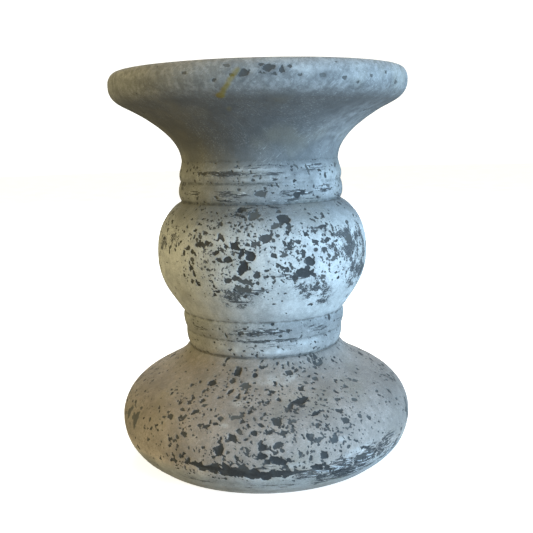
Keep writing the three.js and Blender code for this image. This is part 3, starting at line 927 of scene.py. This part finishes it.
def plate_skin():
    skin = Skin("candle_plate")
    rng = mark(skin, 101, PLATE_CHIPS, 900, plate_density, 0.8, 1.8, (0.4, 0.7))
    patches(skin, "scuff", (
        (-10, 188, 14, 5, 0.5), (6, 188, 18, 6, 0.55), (45, 184, 16, 6, 0.5),
        (-40, 187, 20, 6, 0.3), (60, 186, 14, 6, 0.45), (22, 184, 16, 5, 0.35),
    ), rng)
    patches(skin, "pale", (
        (-1, 188, 4, 3, 0.5), (18, 188, 12, 4, 0.2), (-20, 187, 16, 5, 0.15),
        (35, 186, 16, 5, 0.2), (60, 187, 18, 6, 0.3), (13, 189, 6, 2.4, 0.4),
        # The pale patch at 62 degrees, 168 mm, and its copies round the back, are painted light on the
        # flare's right side
        (18, 180, 10, 3, 0.25, 20), (-10, 185, 10, 4, 0.15), (62, 168, 60, 40, 0.3),
    ), rng)
    for soft_mark in PLATE_SHADES:
        skin.shade(*soft_mark)
    wear_seat(skin, rng)
    # A run of old wax over the rim: it slants down from the crest to a thicker drop
    start, end = np.array(WAX_RUN)
    for along in np.linspace(0, 1, WAX_STEPS):
        skin.patch("wax", *(start + (end - start) * along), 4.4, 3.4, 0.66 + 0.24 * along, 50)
    skin.patch("wax", -12.8, 178.6, 5.4, 4.2, 1.15, 40)
    skin.patch("wax", -11.8, 173.5, 6.4, 3.6, 0.42, 75)
    return skin


def upper_collar_skin():
    skin = Skin("upper_collar")
    rng = mark(skin, 102, UPPER_COLLAR_CHIPS, 1300, collar_density, 0.75, 2.2)
    patches(skin, "streak", (
        (-25, 145, 30, 4, 1.1), (5, 144.5, 26, 3, 0.85), (-20, 135.5, 26, 4.4, 0.95),
        (22, 136, 24, 5, 0.95), (48, 137, 18, 5, 1.1), (-52, 136, 18, 5, 0.7),
        (0, 148, 44, 2.6, 0.7), (40, 147, 24, 5, 0.85), (24, 132.6, 30, 2.4, 0.9),
        (-22, 132.6, 16, 2.4, 0.9), (0, 140, 60, 2.4, 0.55),
    ), rng)
    patches(skin, "pale", (
        (52, 141, 26, 16, 0.45), (40, 147.5, 18, 3, 0.55), (-6, 147, 26, 2, 0.5),
        (-4, 142.5, 20, 1.8, 0.35), (25, 140.5, 24, 3, 0.3),
    ), rng)
    return skin


def bulb_skin():
    skin = Skin("bulb")
    rng = mark(skin, 103, BULB_CHIPS, 9000, bulb_density, 0.85, 2.4)
    patches(skin, "scuff", (
        (-14, 90, 30, 11, 1.05), (-9, 94, 18, 8, 0.9), (-14, 85, 26, 7, 0.8),
        (42, 112, 26, 8, 1.1, 20), (53, 105, 22, 12, 1.2, 10), (27, 92, 28, 15, 1.5, -25),
        (35, 86, 22, 10, 1.1, -25), (50, 112, 28, 18, 1.5), (62, 110, 22, 20, 1.6),
        (57, 96, 18, 20, 1.6), (66, 100, 18, 30, 1.2), (37, 118, 20, 10, 0.9, -20),
        (-54, 115, 16, 14, 0.9, 60), (8, 112, 24, 10, 0.6), (-6, 127, 30, 7, 0.9),
        (46, 100, 20, 7, 0.7, -10), (14, 98, 28, 5, 0.75, -12), (-30, 124, 26, 8, 0.6),
    ), rng)
    patches(skin, "streak", (
        (14, 99, 26, 5, 0.7, -8), (-5, 92.5, 28, 5, 0.85), (-12, 87, 26, 4, 0.75),
        (0, 129.5, 40, 3, 0.6),
    ), rng)
    patches(skin, "pale", (
        (-17, 92.5, 5, 3.4, 0.9), (18, 108, 40, 26, 0.3), (10, 84, 60, 10, 0.3),
    ), rng)
    return skin


def lower_collar_skin():
    skin = Skin("lower_collar")
    rng = mark(skin, 104, LOWER_COLLAR_CHIPS, 1200, collar_density, 0.65, 1.8)
    patches(skin, "streak", (
        (-2, 71, 38, 4.4, 1.1), (0, 66, 54, 3, 0.9), (-14, 69.8, 20, 3.4, 0.9),
        (40, 70, 24, 5, 0.75), (-50, 70, 24, 4, 0.6), (4, 63.6, 40, 2.4, 0.6),
    ), rng)
    patches(skin, "scuff", ((-2, 70.5, 34, 4, 0.6), (30, 72, 20, 4, 0.5)), rng)
    patches(skin, "pale", (
        (-21, 61.6, 6, 3.6, 0.8), (7, 60.8, 15, 3.2, 0.75),
        (30, 64, 18, 2.6, 0.5), (-30, 62, 14, 3, 0.3),
    ), rng)
    skin.shade(54, 68, 40, 24, -0.14)
    return skin


def base_skin():
    skin = Skin("base")
    rng = mark(skin, 105, BASE_CHIPS, 12000, base_density, 0.95, 2.6)
    for scrape in all_round(BASE_SCRAPES, rng):
        skin.chip(*scrape, rng)
    patches(skin, "streak", (
        (-22, 16.8, 18, 4, 1.1, 6), (-10, 15.2, 22, 5, 1.25, -3), (2, 14.6, 22, 4.4, 1.15, 2),
        (16, 13.5, 20, 8, 1.1, 6), (26, 14, 22, 12, 1.15, 10), (38, 15, 24, 14, 1.1, 14),
        (50, 19, 20, 12, 0.8, 18), (-2, 19, 20, 5, 0.6), (-30, 8, 46, 5, 0.65),
        (4, 7, 50, 5, 0.65), (32, 8, 50, 7, 1.0, 6), (56, 13, 30, 10, 0.9, 14),
    ), rng)
    patches(skin, "scuff", (
        (-12, 15, 26, 5, 0.9), (2, 15, 20, 5, 0.8), (-50, 20, 14, 22, 0.5), (-62, 34, 12, 14, 0.5),
        (0, 36, 60, 24, 0.25), (30, 12, 40, 12, 1.7, 10), (46, 16, 26, 11, 1.3, 16),
        (8, 40, 14, 8, 0.6, 40), (14, 11, 30, 5, 0.7), (-50, 12, 20, 6, 0.6),
    ), rng)
    patches(skin, "pale", (
        (30, 17, 34, 8, 0.5, 14), (-16, 35.5, 5, 2.4, 0.5), (27, 27, 9, 3, 0.4),
        (10, 19, 10, 3, 0.4), (6, 50, 26, 8, 0.45), (-5, 6, 90, 6, 0.25), (-10, 43, 14, 6, 0.35),
    ), rng)
    skin.shade(72, 34, 70, 50, -0.14)
    skin.shade(-74, 30, 60, 44, -0.12)
    skin.shade(0, 46, 50, 24, 0.05)
    return skin


# ------------------------ the coated sections

skins = [plate_skin(), upper_collar_skin(), bulb_skin(), lower_collar_skin(), base_skin()]
crests = relief(skins)
seams = [Seam(a, b, groove) for a, b, groove in zip(skins, skins[1:], SEAM_GROOVES)]
timber = timber_material()
for skin, crest, top_seam, bottom_seam in zip(skins, crests, [None] + seams, seams + [None]):
    coat = coat_material(skin.node + "_coat")
    add_section(skin, crest, top_seam, bottom_seam, coat, timber)

# ------------------------ hardware and felt

zinc = metal_material("zinc_plate", srgb(150, 152, 156), srgb(196, 198, 202), 0.3)
brass = metal_material("turned_brass", srgb(158, 124, 66), srgb(206, 170, 98), 0.26)
felt = felt_material()
THREAD_PITCH = 1.25
THREAD_DEPTH = 0.68
ROD_COLUMNS = 24
FELT_COLUMNS = 360


def add_rod(material):
    """The tie rod with its thread cut as a helix, in place of its plain CAD solid."""
    low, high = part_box("tie_rod")
    bottom, top, radius = low[2] / MM, high[2] / MM, high[0] / MM
    around = np.arange(ROD_COLUMNS) / ROD_COLUMNS
    rings = [circle_ring(0, top)]
    for z in np.arange(top, bottom, -THREAD_PITCH / 4):
        phase = (z / THREAD_PITCH - around) % 1
        chamfer = max(0, 1 - min(top - z, z - bottom))
        r = radius - THREAD_DEPTH * np.maximum(np.abs(2 * phase - 1), chamfer)
        rings.append(circle_ring(1, z, ROD_COLUMNS) * np.column_stack([r, r, np.ones(ROD_COLUMNS)]))
    rings.append(circle_ring(0, bottom))
    return ring_mesh("tie_rod_threaded", rings, [material], [0] * len(rings), False)


def add_felt(material):
    """The felt pad with its surface and cut edge made uneven, in place of its CAD solid."""
    outline, closed = meridian("felt_pad")
    corners = np.vstack([outline, outline[:1]]) if closed else outline
    dense = [
        a + (b - a) * t
        for a, b in zip(corners, corners[1:])
        for t in np.linspace(0, 1, max(2, int(np.linalg.norm(b - a) / 0.8)), endpoint=False)
    ]
    dense += [] if closed else [corners[-1]]
    middle = (outline[:, 1].min() + outline[:, 1].max()) / 2
    rings = []
    for r, z in dense:
        ring = circle_ring(r, z, FELT_COLUMNS)
        fuzz = 0.5 + 0.5 * gradient_noise(ring, 1.6, 41)[:, None]
        ring[:, :2] *= 1 - 0.2 * fuzz / max(r, 1)
        ring[:, 2:] += (middle - z) * 0.14 * fuzz
        rings.append(ring)
    return ring_mesh("felt_pad_pressed", rings, [material], [0] * len(rings), closed)


for node, piece in (("tie_rod", add_rod(zinc)), ("felt_pad", add_felt(felt))):
    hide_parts(node)
    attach(piece, "root")
for node, material in (("nut", zinc), ("washer", zinc), ("threaded_insert", brass)):
    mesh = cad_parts[node].data
    mesh.materials.clear()
    mesh.materials.append(material)

# ------------------------ camera, floor and light

HEIGHT = cad_box[1][2] - cad_box[0][2]
WIDTH = cad_box[1][0] - cad_box[0][0]
CAMERA_AWAY = 2.6 * WIDTH
CAMERA_HEIGHT = 0.828 * HEIGHT
CAMERA_ASIDE = 0.0131 * WIDTH
CAMERA_LENS = 51.5
CAMERA_PITCH = 9.46  # degrees down
CAMERA_ROLL = 1.5  # degrees
LAMPS = (  # name, azimuth, elevation, distance in metres, size in metres, watts, colour
    ("window", 54, 5, 1.2, 0.8, 30.5, (0.4, 0.68, 0.98)),
    ("room", -78, 20, 1.3, 0.9, 7.2, (1.0, 0.82, 0.33)),
    ("overhead", 0, 78, 1.2, 0.8, 3, (1.0, 0.75, 0.5)),
    ("behind", 180, 30, 1.5, 1.0, 15, (0.8, 0.9, 1.0)),
)
AMBIENT = 0.4
AMBIENT_COLOUR = (1.0, 0.9, 0.66, 1)
DOME_RADIUS = 4000
DOME_SIDES = 48
DOME_TIERS = 12
DOME_GLOW = 0.9
FLOOR_GLOW = 0.74


def add_camera():
    camera = bpy.data.objects.new("camera", bpy.data.cameras.new("camera"))
    camera.data.lens = CAMERA_LENS
    camera.location = (CAMERA_ASIDE, -CAMERA_AWAY, CAMERA_HEIGHT)
    pitch = Matrix.Rotation(math.radians(90 - CAMERA_PITCH), 4, "X")
    roll = Matrix.Rotation(math.radians(-CAMERA_ROLL), 4, "Z")
    camera.rotation_euler = (pitch @ roll).to_euler()
    bpy.context.scene.collection.objects.link(camera)
    bpy.context.scene.camera = camera


def glowing(name, colour, glow):
    """A matt studio material that also glows white."""
    g = Graph(name)
    shade = g.step(g.noise(60, 3), 0.3, 0.7)
    g.put(g.shader.inputs["Base Color"], g.mix(shade, colour, srgb(250, 250, 250)))
    g.shader.inputs["Roughness"].default_value = 0.9
    g.shader.inputs["Specular IOR Level"].default_value = 0.0
    g.shader.inputs["Emission Color"].default_value = (1, 1, 1, 1)
    g.shader.inputs["Emission Strength"].default_value = glow
    return g.material


def add_stage(name, rings, material):
    """Part of the studio: the camera sees it, and it neither lights nor shades the object."""
    stage = ring_mesh(name, rings, [material], [0] * len(rings), False)
    stage.visible_diffuse = stage.visible_glossy = stage.visible_transmission = False
    stage.visible_shadow = False


def add_studio():
    """A pale floor that runs out to a pale dome of the same brightness."""
    dome = [circle_ring(0, DOME_RADIUS)]
    for up in np.linspace(math.pi / 2, 0, DOME_TIERS + 1)[1:]:
        r, z = DOME_RADIUS * math.cos(up), DOME_RADIUS * math.sin(up)
        dome.append(circle_ring(r, z, DOME_SIDES))
    floor = [circle_ring(0, 0), dome[-1]]
    add_stage("backdrop", dome, glowing("backdrop_white", srgb(250, 250, 250), DOME_GLOW))
    add_stage("floor", floor, glowing("pale_floor", srgb(225, 225, 225), FLOOR_GLOW))


def add_lamp(name, azimuth, elevation, distance, size, watts, colour):
    data = bpy.data.lights.new(name, "AREA")
    data.shape = "DISK"
    data.size = size
    data.energy = watts
    data.color = colour
    lamp = bpy.data.objects.new(name, data)
    a, e = math.radians(azimuth), math.radians(elevation)
    away = Vector((math.sin(a) * math.cos(e), -math.cos(a) * math.cos(e), math.sin(e)))
    lamp.location = Vector((0, 0, HEIGHT / 2)) + away * distance
    lamp.rotation_euler = (-away).to_track_quat("-Z", "Y").to_euler()
    bpy.context.scene.collection.objects.link(lamp)


def add_world():
    world = bpy.data.worlds.new("studio")
    world.use_nodes = True
    background = world.node_tree.nodes["Background"]
    background.inputs["Color"].default_value = AMBIENT_COLOUR
    background.inputs["Strength"].default_value = AMBIENT
    bpy.context.scene.world = world


add_camera()
add_studio()
add_world()
for lamp in LAMPS:
    add_lamp(*lamp)
bpy.context.scene.view_settings.view_transform = "Standard"
